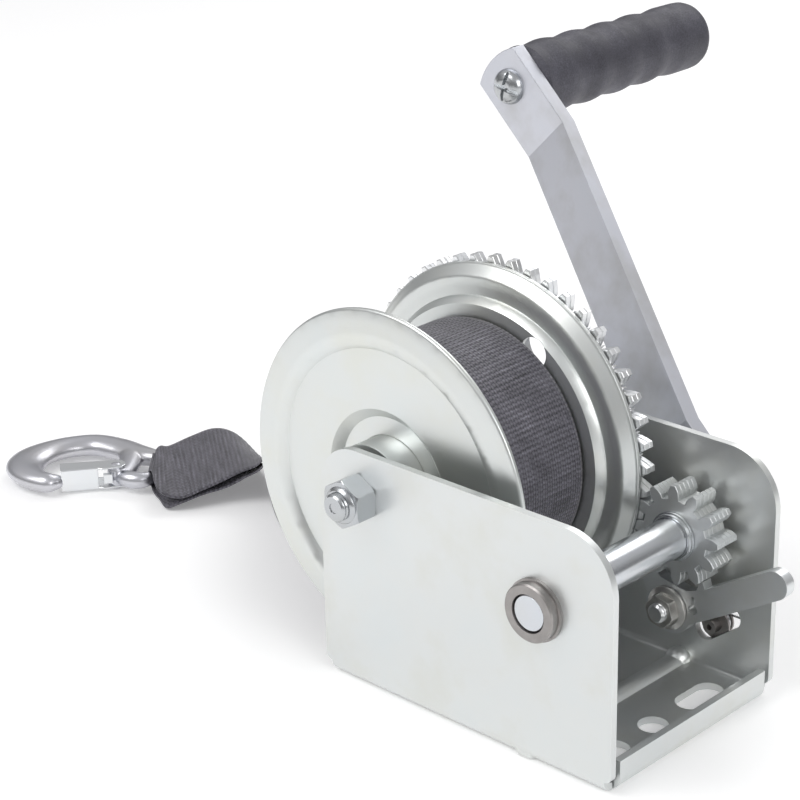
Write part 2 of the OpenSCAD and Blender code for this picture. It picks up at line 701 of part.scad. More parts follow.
module latch_spring()
    color(steel) place_hook() translate([16.5, -3.4, 0]) rotate([0, 0, latch_a])
        translate([4.8, 2.8, 3]) cube([14, 0.6, 4]);

// ---- nodes ---------------------------------------------------------------------------------

frame();
drum_axle_bolt();
drum_axle_nut();
drum_sleeve();
shaft_bushings();
near_flange();
gear_flange();
drum_gear();
drum_hub();
hub_bushings();
strap_pin();
strap_pack();
pinion_gear();
pinion_shaft();
thrust_ring();
crank_arm();
crank_washer();
crank_nut();
grip_screw();
grip_nut();
handle_grip();
pawl();
pawl_bolt();
pawl_bushing();
pawl_nut();
pawl_spring();
spring_post();
strap_tail();
snap_hook();
hook_latch();
latch_rivet();
latch_spring();
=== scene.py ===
"""Boat trailer winch: materials, strap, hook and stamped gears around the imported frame."""
import math

import bmesh
import bpy
from mathutils import Matrix, Vector

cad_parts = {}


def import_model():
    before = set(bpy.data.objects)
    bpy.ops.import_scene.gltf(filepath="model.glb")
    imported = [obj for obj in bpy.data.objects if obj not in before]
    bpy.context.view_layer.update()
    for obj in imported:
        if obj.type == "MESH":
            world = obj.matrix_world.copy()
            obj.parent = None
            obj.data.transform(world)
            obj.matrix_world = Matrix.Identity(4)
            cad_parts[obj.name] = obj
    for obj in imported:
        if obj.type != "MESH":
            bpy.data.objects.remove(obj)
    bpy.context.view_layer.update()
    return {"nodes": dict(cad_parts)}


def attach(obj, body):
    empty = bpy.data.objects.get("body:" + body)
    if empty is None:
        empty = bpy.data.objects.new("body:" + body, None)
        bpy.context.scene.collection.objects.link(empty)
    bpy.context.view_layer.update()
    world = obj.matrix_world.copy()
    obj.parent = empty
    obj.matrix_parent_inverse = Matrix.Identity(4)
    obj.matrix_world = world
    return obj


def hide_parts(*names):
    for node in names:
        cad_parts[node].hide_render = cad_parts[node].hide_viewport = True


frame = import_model()
scene = bpy.context.scene
NODES = frame["nodes"]
MM = 0.001
# axes of the drum and the pinion, which run along Y, in millimetres
DRUM_X, DRUM_Z = -51, 81.5
PINION_X, PINION_Z = 37.282, 64
# pitch of the strap's cross ribs and of its lengthwise yarns, in metres
RIB, YARN = 0.0020, 0.0014
RIB_DEPTH = 0.10 * MM


# ---- camera and light -----------------------------------------------------------------------

AZIMUTH, ELEVATION, ROLL = math.radians(43.99), math.radians(22.22), math.radians(1.21)
CAMERA_AT = (0.5064, -0.6041, 0.4419)

camera_data = bpy.data.cameras.new("camera")
camera_data.sensor_width = 36
camera_data.lens = 102.36
camera_data.clip_start = 0.01
camera = bpy.data.objects.new("camera", camera_data)
scene.collection.objects.link(camera)
turn = (Matrix.Rotation(AZIMUTH, 4, "Z") @ Matrix.Rotation(math.pi / 2 - ELEVATION, 4, "X")
        @ Matrix.Rotation(-ROLL, 4, "Z"))
camera.matrix_world = Matrix.Translation(CAMERA_AT) @ turn
scene.camera = camera
scene.view_settings.view_transform = "Standard"


def area_light(name, at, aim, size, power):
    """Rectangular soft box at one place, turned towards another; sizes in metres, power in watts."""
    data = bpy.data.lights.new(name, "AREA")
    data.shape = "RECTANGLE"
    data.size, data.size_y = size
    data.energy = power
    light = bpy.data.objects.new(name, data)
    scene.collection.objects.link(light)
    light.location = at
    light.rotation_euler = (Vector(aim) - Vector(at)).to_track_quat("-Z", "Y").to_euler()


area_light("key", (-0.6, -1.1, 1.5), (0, 0, 0.08), (1.2, 1.0), 13)
area_light("fill", (1.5, -0.3, 0.9), (0, 0, 0.08), (0.9, 0.9), 8)
area_light("back", (-0.4, 1.4, 1.3), (0, 0, 0.1), (1.4, 0.7), 7)


def world():
    """Studio surroundings: grey bands by height, brighter overhead, for the plated metal to reflect."""
    made = bpy.data.worlds.new("studio")
    made.use_nodes = True
    nt = made.node_tree
    nt.nodes.clear()
    out = nt.nodes.new("ShaderNodeOutputWorld")
    sky = nt.nodes.new("ShaderNodeBackground")
    coords = nt.nodes.new("ShaderNodeTexCoord")
    split = nt.nodes.new("ShaderNodeSeparateXYZ")
    ramp = nt.nodes.new("ShaderNodeValToRGB")
    # height from straight down (0) to straight up (1), and brightness
    stops = [(0.0, 0.80), (0.46, 0.72), (0.56, 0.30), (0.66, 0.62), (0.80, 1.0), (1.0, 0.9)]
    spread = nt.nodes.new("ShaderNodeMapRange")
    spread.inputs["From Min"].default_value = -1
    ramp.color_ramp.elements[0].position = stops[0][0]
    ramp.color_ramp.elements[1].position = stops[-1][0]
    for where, _ in stops[1:-1]:
        ramp.color_ramp.elements.new(where)
    for element, (_, v) in zip(ramp.color_ramp.elements, stops):
        element.color = (v, v, v * 1.01, 1)
    nt.links.new(coords.outputs["Generated"], split.inputs[0])
    nt.links.new(split.outputs["Z"], spread.inputs["Value"])
    nt.links.new(spread.outputs[0], ramp.inputs[0])
    nt.links.new(ramp.outputs[0], sky.inputs[0])
    sky.inputs[1].default_value = 0.62
    nt.links.new(sky.outputs[0], out.inputs[0])
    scene.world = made


world()


# ---- materials ------------------------------------------------------------------------------

class Maker:
    """Short names for building one node material."""

    def __init__(self, name):
        self.mat = bpy.data.materials.new(name)
        self.mat.use_nodes = True
        self.nt = self.mat.node_tree
        self.bsdf = self.nt.nodes["Principled BSDF"]

    def node(self, kind, **values):
        made = self.nt.nodes.new("ShaderNode" + kind)
        for key, value in values.items():
            if key in made.inputs:
                made.inputs[key].default_value = value
            else:
                setattr(made, key, value)
        return made

    def link(self, a, b):
        self.nt.links.new(a, b)

    def coords(self, which="Object"):
        return self.node("TexCoord").outputs[which]

    def ramp(self, source, stops):
        made = self.node("ValToRGB")
        elements = made.color_ramp.elements
        elements[0].position, elements[1].position = stops[0][0], stops[-1][0]
        for where, _ in stops[1:-1]:
            elements.new(where)
        for element, (_, colour) in zip(elements, stops):
            element.color = (*colour, 1)
        self.link(source, made.inputs[0])
        return made.outputs[0]

    def noise(self, scale, detail=3, rough=0.5, where=None, stretch=None):
        made = self.node("TexNoise", Scale=scale, Detail=detail, Roughness=rough)
        source = where or self.coords()
        if stretch:
            mapping = self.node("Mapping")
            mapping.inputs["Scale"].default_value = stretch
            self.link(source, mapping.inputs[0])
            source = mapping.outputs[0]
        self.link(source, made.inputs["Vector"])
        return made.outputs["Fac"]

    def math(self, op, a, b=0.0, c=0.0):
        made = self.node("Math", operation=op)
        for i, value in enumerate((a, b, c)):
            if hasattr(value, "links"):
                self.link(value, made.inputs[i])
            else:
                made.inputs[i].default_value = value
        return made.outputs[0]

    def bump(self, height, strength, distance, chain=None):
        made = self.node("Bump", Strength=strength, Distance=distance)
        self.link(height, made.inputs["Height"])
        if chain:
            self.link(chain, made.inputs["Normal"])
        return made.outputs[0]


def zinc(name, base, rough=(0.26, 0.40), stretch=None, mottled=0.5, grain=0.02, metal=1.0):
    """Zinc plating: cloudy tint, gloss that varies between the two values of rough, fine grain."""
    m = Maker(name)
    m.bsdf.inputs["Metallic"].default_value = metal
    cloud = m.noise(34, 4, 0.6, stretch=stretch)
    light, dark = Vector(base), Vector(base) * (1 - 0.12 * mottled)
    warm = (dark[0] * 1.01, dark[1], dark[2] * 0.965)
    cool = (light[0] * 0.985, light[1], light[2] * 1.012)
    m.link(m.ramp(cloud, [(0.3, warm), (0.5, tuple(light)), (0.72, cool)]),
           m.bsdf.inputs["Base Color"])
    fine = m.noise(260, 3, 0.6, stretch=stretch)
    low, high = rough
    m.link(m.math("MULTIPLY_ADD", fine, high - low, low), m.bsdf.inputs["Roughness"])
    m.link(m.bump(m.noise(900, 2, 0.5, stretch=stretch), grain, 0.00006), m.bsdf.inputs["Normal"])
    return m.mat


def bare(name, base, rough):
    """Oiled steel with a turned grain."""
    m = Maker(name)
    m.bsdf.inputs["Metallic"].default_value = 0.9
    tone = m.noise(120, 4, 0.6)
    m.link(m.ramp(tone, [(0.3, tuple(Vector(base) * 0.72)), (0.7, tuple(base))]),
           m.bsdf.inputs["Base Color"])
    m.link(m.math("MULTIPLY_ADD", m.noise(400), 0.2, rough), m.bsdf.inputs["Roughness"])
    m.link(m.bump(m.noise(1500, 2, 0.5), 0.15, 0.00006), m.bsdf.inputs["Normal"])
    return m.mat


def webbing(name):
    """Woven strap: ribs across the width, broken into a basket pattern, on metre-sized UVs, with
    painted shade in the grooves between ribs.
    """
    m = Maker(name)
    uv = m.node("SeparateXYZ")
    m.link(m.coords("UV"), uv.inputs[0])
    along, across = uv.outputs["X"], uv.outputs["Y"]
    column = m.math("FLOOR", m.math("DIVIDE", across, YARN))
    shift = m.math("MULTIPLY", m.math("MODULO", column, 2.0), 0.22)
    wander = m.math("MULTIPLY", m.noise(60, 2, 0.5, where=m.coords("UV")), 0.5)
    phase = m.math("ADD", m.math("ADD", m.math("DIVIDE", along, RIB), shift), wander)
    weft = m.math("ABSOLUTE", m.math("SINE", m.math("MULTIPLY", phase, math.pi)))
    warp = m.math("ABSOLUTE", m.math("SINE", m.math("MULTIPLY", across, math.pi / YARN)))
    height = m.math("MULTIPLY_ADD", m.math("POWER", warp, 0.6), 0.35, m.math("POWER", weft, 0.8))
    fuzz = m.noise(2600, 2, 0.6)
    patch = m.noise(70, 3, 0.6)
    lengthwise = m.noise(1, 3, 0.6, where=m.coords("UV"), stretch=(90, 1300, 1))
    crosswise = m.noise(1, 3, 0.6, where=m.coords("UV"), stretch=(620, 70, 1))
    strands = m.math("MULTIPLY_ADD", lengthwise, 0.45, m.math("MULTIPLY", crosswise, 0.75))
    # painted shade: the weave's grooves are darker and its crests lighter, from the same rib height as
    # the bump; patch and strands add random tone
    tone = m.math("MULTIPLY_ADD", height, 0.26, m.math("MULTIPLY_ADD", patch, 0.4, -0.54))
    tone = m.math("MULTIPLY_ADD", strands, 0.95, tone)
    m.link(m.ramp(tone, [(0.10, (0.014, 0.013, 0.019)), (0.38, (0.064, 0.061, 0.076)),
                         (0.64, (0.145, 0.139, 0.168)), (0.92, (0.38, 0.37, 0.43))]),
           m.bsdf.inputs["Base Color"])
    m.bsdf.inputs["Roughness"].default_value = 0.5
    m.bsdf.inputs["Specular IOR Level"].default_value = 0.5
    m.bsdf.inputs["Sheen Weight"].default_value = 0.25
    m.bsdf.inputs["Sheen Roughness"].default_value = 0.5
    rough = m.bump(m.math("ADD", fuzz, strands), 0.4, 0.0002)
    m.link(m.bump(height, 0.8, 0.0004, rough), m.bsdf.inputs["Normal"])
    return m.mat


def thread_material(name):
    """Dark sewing thread with an uneven tone."""
    m = Maker(name)
    m.link(m.ramp(m.noise(1800), [(0.3, (0.03, 0.03, 0.035)), (0.7, (0.10, 0.095, 0.11))]),
           m.bsdf.inputs["Base Color"])
    m.bsdf.inputs["Roughness"].default_value = 0.7
    return m.mat


def grip_plastic(name):
    """Matt moulded plastic with a fine spark texture and a little scuffing."""
    m = Maker(name)
    scuff = m.noise(55, 5, 0.65)
    speckle = m.math("MULTIPLY_ADD", m.noise(1500, 2, 0.7), 0.5, m.math("MULTIPLY", scuff, 0.6))
    m.link(m.ramp(speckle, [(0.35, (0.033, 0.032, 0.041)), (0.58, (0.068, 0.066, 0.083)),
                          (0.80, (0.135, 0.135, 0.165))]), m.bsdf.inputs["Base Color"])
    m.link(m.math("MULTIPLY_ADD", m.noise(300), 0.25, 0.42), m.bsdf.inputs["Roughness"])
    grain = m.bump(m.noise(1300, 3, 0.7), 0.45, 0.00012)
    m.link(m.bump(m.noise(420, 2, 0.5), 0.2, 0.0002, grain), m.bsdf.inputs["Normal"])
    return m.mat


PLATE = zinc("zinc_plate", (0.71, 0.728, 0.722), (0.32, 0.38), mottled=0.35, metal=0.80)
BAR = zinc("zinc_bar", (0.655, 0.665, 0.715), (0.38, 0.46), mottled=1.2, grain=0.08, metal=0.92)
DRUM = zinc("zinc_drum", (0.705, 0.725, 0.712), (0.33, 0.37), mottled=0.12, grain=0.0, metal=0.92)
GEAR = zinc("zinc_gear", (0.84, 0.85, 0.86), (0.26, 0.34), mottled=0.3, grain=0.02, metal=0.85)
PINION = zinc("zinc_pinion", (0.66, 0.68, 0.69), (0.36, 0.44), mottled=0.4, metal=0.85)
PAWL = zinc("zinc_pawl", (0.74, 0.76, 0.77), (0.28, 0.36), mottled=0.4, metal=0.8)
SHAFT = zinc("zinc_shaft", (0.64, 0.66, 0.69), (0.20, 0.27), mottled=0.3, grain=0.01)
HARDWARE = zinc("zinc_hardware", (0.50, 0.515, 0.53), (0.20, 0.30), mottled=0.7)
FORGED = zinc("zinc_hook", (0.62, 0.62, 0.655), (0.30, 0.38), mottled=0.7, grain=0.08)
GATE = zinc("zinc_gate", (0.80, 0.81, 0.82), (0.26, 0.34), mottled=0.4)
STEEL = bare("bare_steel", (0.39, 0.37, 0.36), 0.24)
NUT_STEEL = bare("nut_steel", (0.60, 0.59, 0.565), 0.22)
SPRING = zinc("spring_steel", (0.55, 0.56, 0.57), (0.2, 0.3))
WEBBING = webbing("webbing")
THREAD = thread_material("thread")
GRIP = grip_plastic("grip_plastic")

FINISH = {
    PLATE: ["frame"],
    BAR: ["crank_arm"],
    DRUM: ["near_flange", "gear_flange", "drum_hub"],
    GEAR: ["drum_gear"],
    PINION: ["pinion_gear"],
    PAWL: ["pawl"],
    SHAFT: ["pinion_shaft", "thrust_ring", "drum_sleeve"],
    HARDWARE: ["drum_axle_bolt", "drum_axle_nut", "strap_pin", "crank_washer", "crank_nut",
               "grip_screw", "grip_nut", "latch_rivet"],
    STEEL: ["shaft_bushings", "hub_bushings", "spring_post"],
    NUT_STEEL: ["pawl_nut", "pawl_bushing"],
    SPRING: ["pawl_spring", "latch_spring"],
    WEBBING: ["strap_pack", "strap_tail"],
    FORGED: ["snap_hook"],
    GATE: ["hook_latch", "pawl_bolt"],
    GRIP: ["handle_grip"],
}
for material, names in FINISH.items():
    for name in names:
        slots = NODES[name].material_slots
        if slots:
            for material_slot in slots:
                material_slot.material = material
        else:
            NODES[name].data.materials.append(material)


# ---- mesh tools -----------------------------------------------------------------------------

def mesh_object(name, verts, faces, material, uvs=None, smooth=True):
    """New object from points and faces; uvs gives one pair for each point."""
    mesh = bpy.data.meshes.new(name)
    mesh.from_pydata(verts, [], faces)
    if uvs:
        layer = mesh.uv_layers.new(name="UVMap")
        for loop in mesh.loops:
            layer.data[loop.index].uv = uvs[loop.vertex_index]
    mesh.materials.append(material)
    mesh.polygons.foreach_set("use_smooth", [smooth] * len(mesh.polygons))
    made = bpy.data.objects.new(name, mesh)
    scene.collection.objects.link(made)
    return made


def spline(rows, s):
    """Catmull-Rom value of rows (lists of equal length) at position s."""
    last = len(rows) - 1
    i = min(last - 1, max(0, int(s)))
    t = s - i
    a, b, c, d = (rows[min(last, max(0, i + k))] for k in (-1, 0, 1, 2))
    return [0.5 * (2 * q + (r - p) * t + (2 * p - 5 * q + 4 * r - w) * t * t
                   + (3 * q - p - 3 * r + w) * t * t * t) for p, q, r, w in zip(a, b, c, d)]


def rings_to_faces(count, around, closed=False):
    """Quads between rings of points, with a fan-free cap at both ends when the tube is open."""
    faces = []
    for i in range(count if closed else count - 1):
        a, b = i * around, (i + 1) % count * around
        for k in range(around):
            n = (k + 1) % around
            faces.append((a + k, a + n, b + n, b + k))
    if not closed:
        faces.append(tuple(reversed(range(around))))
        faces.append(tuple((count - 1) * around + k for k in range(around)))
    return faces


def apply_modifiers(made):
    """Keep the shape that the modifiers make as the object's own mesh."""
    graph = bpy.context.evaluated_depsgraph_get()
    graph.update()
    mesh = bpy.data.meshes.new_from_object(made.evaluated_get(graph))
    made.modifiers.clear()
    made.data = mesh


def soften(made, width, segments=2, angle=48):
    """Small rounded edges that catch the light; width in millimetres, angle in degrees."""
    weld = made.modifiers.new("weld", "WELD")
    weld.merge_threshold = 0.002 * MM
    bevel = made.modifiers.new("edges", "BEVEL")
    bevel.width = width * MM
    bevel.segments = segments
    bevel.limit_method = "ANGLE"
    bevel.angle_limit = math.radians(angle)
    shade = made.modifiers.new("shade", "WEIGHTED_NORMAL")
    shade.keep_sharp = True


# ---- strap ----------------------------------------------------------------------------------

STRAP_T = 1.6 * MM
STRAP_W = 50 * MM
# middle of the wound strap along Y
PACK_Y = -4.3 * MM
# middle of the strap, vector from its far to its near edge, gap between the two layers, half
# widths towards the near and far edge; in millimetres, from the drum to the hook
STRAP = [
    (-51, -4.3, 26.9, 0, -50, 0, 0, 25, 25), (-76, -4.3, 26.8, 0, -50, 0, 0, 25, 25),
    (-98, -4.3, 26.8, 0, -50, 0, 0, 25, 25), (-116, -2, 27, -3, -48, 12, 0, 25, 25),
    (-137, 6, 27.5, -8, -40, 28, 0, 25, 25), (-160, 20, 27, -6, -27, 42, 0.2, 25, 25),
    (-183, 36, 25, 9, -22, 44, 0.3, 25, 25), (-203, 47.5, 19.5, 27, -27, 32, 0.8, 25, 25),
    (-223, 54, 12, 36, -30, 15, 1.6, 25, 25), (-232, 49.5, 14, 40, -30, 1, 2.4, 25, 25),
    (-238, 43, 13, 40, -30, -5.5, 2.4, 25, 25), (-243, 33.5, 11, 40, -30, -6.5, 0.8, 25, 25),
    (-248, 25, 8, 40, -28, -5, 1, 25, 25), (-253, 21, 7, 38, -32, -4.5, 6, 24, 22),
    (-257.5, 21, 6.5, 36, -34, -1, 8.5, 15, 14), (-261.5, 22.5, 6.5, 34, -36, 0, 7, 9.5, 9.5)]
# station where the lower layer ends, sewn to the upper one
SEW_END = 5
# path points between two stations, and points across the strap
FINE = 20
ACROSS = 30


def strap_point(s, turn=None, side=1):
    """Middle, across and outward direction, and half widths of one layer at station s."""
    row = spline(STRAP, s)
    ahead, behind = spline(STRAP, min(len(STRAP) - 1, s + 0.1)), spline(STRAP, max(0, s - 0.1))
    along = (Vector(ahead[:3]) - Vector(behind[:3])).normalized()
    across = Vector(row[3:6]).normalized()
    up = along.cross(Vector(row[3:6])).normalized()
    out = up * side if turn is None else up * math.cos(turn) + along * math.sin(turn)
    middle = Vector(row[:3]) + out * (row[6] + STRAP_T / MM) / 2
    return [*(middle * MM), *across, *out, row[7] * MM, row[8] * MM]


def strap_path():
    """Upper layer to the hook, the fold round its eye, and the lower layer back."""
    last = len(STRAP) - 1
    fold = 12
    path = [strap_point(i / FINE) for i in range(last * FINE + 1)]
    path += [strap_point(last, math.pi * i / fold) for i in range(1, fold)]
    path += [strap_point(i / FINE, side=-1) for i in range(last * FINE, SEW_END * FINE - 1, -1)]
    return path


def even(path, step):
    """The path again at equal steps, with its length so far as the last value."""
    run, total = [0.0], 0.0
    for a, b in zip(path, path[1:]):
        total += (Vector(a[:3]) - Vector(b[:3])).length
        run.append(total)
    made, i = [], 0
    count = int(total / step)
    for k in range(count + 1):
        at = total * k / count
        while i < len(path) - 2 and run[i + 1] < at:
            i += 1
        t = (at - run[i]) / max(1e-9, run[i + 1] - run[i])
        made.append([p * (1 - t) + q * t for p, q in zip(path[i], path[i + 1])] + [at])
    return made, total


def ribbon(name, stations, material, rib_depth=0.0):
    """Closed strap mesh with rounded selvages and woven ribs, UVs in metres."""
    selvage = 0.9 * MM
    verts, uvs = [], []
    for st in stations:
        middle, across, out = Vector(st[0:3]), Vector(st[3:6]).normalized(), Vector(st[6:9])
        near, far, at = st[9], st[10], st[11]
        rib = rib_depth * math.cos(2 * math.pi * at / RIB)
        for face in (1, -1):
            for k in range(ACROSS + 1):
                f = k / ACROSS if face > 0 else 1 - k / ACROSS
                x = -far + (near + far) * f
                edge = max(0.0, min(1.0, min(near - x, x + far) / selvage))
                high = (STRAP_T / 2 - rib_depth) * (0.45 + 0.55 * math.sqrt(edge * (2 - edge)))
                high += rib * min(1.0, edge)
                verts.append(middle + across * x + out.normalized() * high * face)
                uvs.append((at, x + STRAP_W))
    faces = rings_to_faces(len(stations), 2 * (ACROSS + 1))
    return mesh_object(name, verts, faces, material, uvs)


def wound_strap():
    """The strap wound on the drum as one spiral; its outer end meets the free strap end."""
    turns, inner, outer = 20, 19.6 * MM, 53 * MM
    # points in one turn, and how many more the finely ribbed outer piece reaches back past a turn
    steps, seam = 120, 20
    rows = []
    for i in range(turns * steps + 1):
        t = i / steps
        r = inner + (outer - inner - STRAP_T) * t / turns + STRAP_T / 2
        a = -math.pi / 2 - 2 * math.pi * (turns - t)
        slip = 0.35 * MM * math.sin(t * 2.7) + 0.15 * MM * math.sin(t * 11.0)
        out = (math.cos(a), 0, math.sin(a))
        half = STRAP_W / 2 - abs(slip)
        rows.append([DRUM_X * MM + r * out[0], PACK_Y + slip, DRUM_Z * MM + r * out[2], 0, -1, 0,
                     *out, half, half])
    inside, _ = even(rows[:-(steps + seam)], 3.2 * MM)
    outside, _ = even(rows[-(steps + seam + 2):], RIB / 6)
    for name, stations, depth in (("strap_turns", inside, 0),
                                  ("strap_outer_turn", outside, RIB_DEPTH)):
        piece = ribbon(name, stations, WEBBING, depth)
        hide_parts("strap_pack")
        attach(piece, "drum")


def stitches(stations):
    """Rows of sewn thread that close the strap's loop, as short raised stitches."""
    verts, faces = [], []
    pitch, length, r = 3.2 * MM, 2.3 * MM, 0.32 * MM
    # sewn stretch, as a distance from the drum along the strap, in metres
    start, end = 0.105, 0.165
    # rings of points that make one stitch, and points in a ring
    rings, around = 7, 6
    for x in (-20, -14, -7, 0, 7, 14, 20):
        for st in stations:
            at = st[11]
            if not start < at < end or (at % pitch) > RIB / 6:
                continue
            middle, across, out = Vector(st[0:3]), Vector(st[3:6]).normalized(), Vector(st[6:9])
            along = across.cross(out).normalized()
            centre = middle + across * x * MM + out * (STRAP_T / 2 + 0.02 * MM)
            base = len(verts)
            for i in range(rings):
                s = i / (rings - 1) * 2 - 1
                rr = r * math.sqrt(max(0.05, 1 - s * s))
                for k in range(around):
                    a = math.pi * 2 * k / around
                    verts.append(centre + along * s * length / 2 + across * rr * math.cos(a)
                                 + out * rr * 0.7 * math.sin(a))
            faces += [tuple(base + i for i in f) for f in rings_to_faces(rings, around)]
    made = mesh_object("strap_stitching", verts, faces, THREAD)
    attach(made, "frame")
    return made


def strap_tail():
    """The strap's free end with its sewn loop, a sheet that lies in the hook's eye."""
    stations, total = even(strap_path(), RIB / 6)
    tail = ribbon("strap_free_end", stations, WEBBING, RIB_DEPTH)
    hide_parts("strap_tail")
    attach(tail, "frame")
    sewing = stitches(stations)


# ---- hook -----------------------------------------------------------------------------------

HOOK_AT = Vector((-256, 15, 1.1)) * MM
HOOK_TURN = math.radians(180 + 35.6)
# hook centre line in its own frame: along, across, height, half width, half height, millimetres
HOOK = [
    (43, 7.2, 5, 4, 3.6), (46, 8.1, 5, 5.3, 4.6), (50, 7.2, 5, 5.6, 4.6), (55, 3.6, 5, 7, 4.7),
    (60.3, -2.6, 5, 8.4, 4.7), (62.8, -10.5, 5, 9.4, 4.7), (61.3, -19, 5, 9.2, 4.7),
    (55.5, -27.5, 5, 7.8, 4.7), (46.5, -34.2, 5, 6.8, 4.8), (35, -37.4, 5, 6.8, 4.9),
    (22.4, -33.6, 5, 7.2, 4.8), (12.8, -28, 5, 7.2, 4.6), (4.4, -25.2, 5, 4.9, 4.1),
    (-1.6, -21.6, 5.2, 3, 3), (-2.6, -16, 5.3, 2.6, 2.6), (-2.6, -8, 5.3, 2.6, 2.6),
    (-1.4, -2.2, 5.2, 3, 3), (3.6, 1.4, 5, 4, 4), (9.6, 0.6, 5, 4.2, 4),
    (15.5, -2.8, 5, 3, 2.6)]
# rivet of the gate and direction of the gate, in the hook's frame
LATCH_AT = (16.5, -3.4)
LATCH_TURN = math.radians(18)


def place_hook(made):
    """Move points from the hook's own frame, in millimetres, to the row frame."""
    m = Matrix.Translation(HOOK_AT) @ Matrix.Rotation(HOOK_TURN, 4, "Z") @ Matrix.Scale(MM, 4)
    made.data.transform(m)


def add_tube(verts, faces, rows, around=20):
    """Tube with rounded ends through rows of (x, y, z, half width, half height)."""
    base = len(verts)
    count = 0
    per_row = 6
    steps = per_row * (len(rows) - 1)
    for i in range(steps + 1):
        s = i / per_row
        row = spline(rows, s)
        ahead, behind = spline(rows, min(len(rows) - 1, s + 0.1)), spline(rows, max(0, s - 0.1))
        along = (Vector(ahead[:3]) - Vector(behind[:3])).normalized()
        side = along.cross(Vector((0, 0, 1))).normalized()
        top = side.cross(along)
        caps = [1.0]
        if i in (0, steps):
            caps = [math.cos(k * math.pi / 10) for k in (4, 3, 2, 1, 0)]
            caps = caps if i == 0 else caps[::-1]
        for cap in caps:
            reach = math.sqrt(1 - cap * cap) * min(row[3], row[4]) * (-1 if i == 0 else 1)
            centre = Vector(row[:3]) + along * reach
            for k in range(around):
                a = 2 * math.pi * k / around
                verts.append(centre + side * row[3] * cap * math.cos(a)
                             + top * row[4] * cap * math.sin(a))
            count += 1
    faces += [tuple(base + i for i in f) for f in rings_to_faces(count, around)]


def add_box(verts, faces, low, high):
    """Box between two opposite corners."""
    base = len(verts)
    for x in (low[0], high[0]):
        for y in (low[1], high[1]):
            for z in (low[2], high[2]):
                verts.append(Vector((x, y, z)))
    for f in ((0, 1, 3, 2), (4, 6, 7, 5), (0, 4, 5, 1), (2, 3, 7, 6), (0, 2, 6, 4), (1, 5, 7, 3)):
        faces.append(tuple(base + i for i in f))


def snap_hook():
    """Forged hook: its tube, web and lug fused by a fine remesh and smoothed."""
    verts, faces = [], []
    add_tube(verts, faces, HOOK)
    add_tube(verts, faces, [(15, -27, 5, 6.4, 4.3), (13.8, -20, 5, 5.6, 3.9),
                            (13.2, -11, 5, 5.2, 3.6), (13.4, -3, 5, 4.6, 3.6)])
    add_tube(verts, faces, [(16.5, -3.4, 2.6, 4.2, 4.2), (16.6, -3.4, 5, 4.3, 4.3),
                            (16.5, -3.4, 7.4, 4.2, 4.2)])
    made = mesh_object("forged_hook", verts, faces, FORGED)
    remesh = made.modifiers.new("fuse", "REMESH")
    remesh.mode = "VOXEL"
    remesh.voxel_size = 0.42
    smooth = made.modifiers.new("soften", "SMOOTH")
    smooth.factor = 0.5
    smooth.iterations = 16
    apply_modifiers(made)
    made.data.polygons.foreach_set("use_smooth", [True] * len(made.data.polygons))
    place_hook(made)
    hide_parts("snap_hook")
    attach(made, "frame")


def hook_latch():
    """Folded sheet gate: two cheeks round the rivet, a closed back and a pressed ridge."""
    wall, low, high, reach = 0.9, 0.2, 10.9, 26
    outline = [(-4.4, -1.6), (-3.2, -3.8), (0, -4.8), (reach, -6.4), (reach, 3.4), (8.6, 3.4),
               (6.6, 4.4), (-2.8, 3.6), (-4.4, 1.6)]
    n = len(outline)
    verts, faces = [], []
    for z0, z1 in ((low, low + wall), (high - wall, high)):
        base = len(verts)
        verts += [Vector((x, y, z)) for z in (z0, z1) for x, y in outline]
        for k in range(n):
            m = (k + 1) % n
            faces.append((base + k, base + m, base + m + n, base + k + n))
        faces += [tuple(reversed(range(base, base + n))), tuple(range(base + n, base + 2 * n))]
    add_box(verts, faces, (8.6, 2.5, low + 0.02), (reach, 3.42, high - 0.02))
    add_box(verts, faces, (2, 2.9, 3.2), (6.2, 5.2, 8))
    made = mesh_object("latch_gate", verts, faces, GATE, smooth=False)
    made.data.transform(Matrix.Translation((*LATCH_AT, 0)) @ Matrix.Rotation(LATCH_TURN, 4, "Z"))
    place_hook(made)
    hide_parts("hook_latch")
    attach(made, "latch")
    soften(made, 0.35, 3)


# ---- gears ----------------------------------------------------------------------------------

def involute(base, t):
    """Point of the involute of a base circle, at roll angle t."""
    return base * (math.cos(t) + t * math.sin(t)), base * (math.sin(t) - t * math.cos(t))


def gear_outline(teeth, phase, module=3.0, pressure=25, add=0.8, ded=1.02, play=0.16):
    """Outline of a spur gear in millimetres, one tooth centred on phase (degrees)."""
    rp = module * teeth / 2
    rb = rp * math.cos(math.radians(pressure))
    rt, rr = rp + add * module, rp - ded * module

    def roll(r):
        return math.sqrt(max(0.0, (max(r, rb) / rb) ** 2 - 1))

    tp = roll(rp)
    mid = math.pi / 2 / teeth - play / rp / 2 + tp - math.atan(tp)
    flank = []
    for i in range(5):
        x, y = involute(rb, roll(rb + (rt - rb) * i / 4))
        flank.append((x * math.cos(mid) + y * math.sin(mid), -x * math.sin(mid) + y * math.cos(mid)))
    a0 = math.atan2(flank[0][1], flank[0][0])
    tooth = [(rr * math.cos(a0), rr * math.sin(a0))] + flank
    tooth += [(x, -y) for x, y in reversed(tooth)]
    points = []
    for k in range(teeth):
        a = math.radians(phase + 360 * k / teeth)
        points += [(x * math.cos(a) - y * math.sin(a), x * math.sin(a) + y * math.cos(a))
                   for x, y in tooth]
    return points


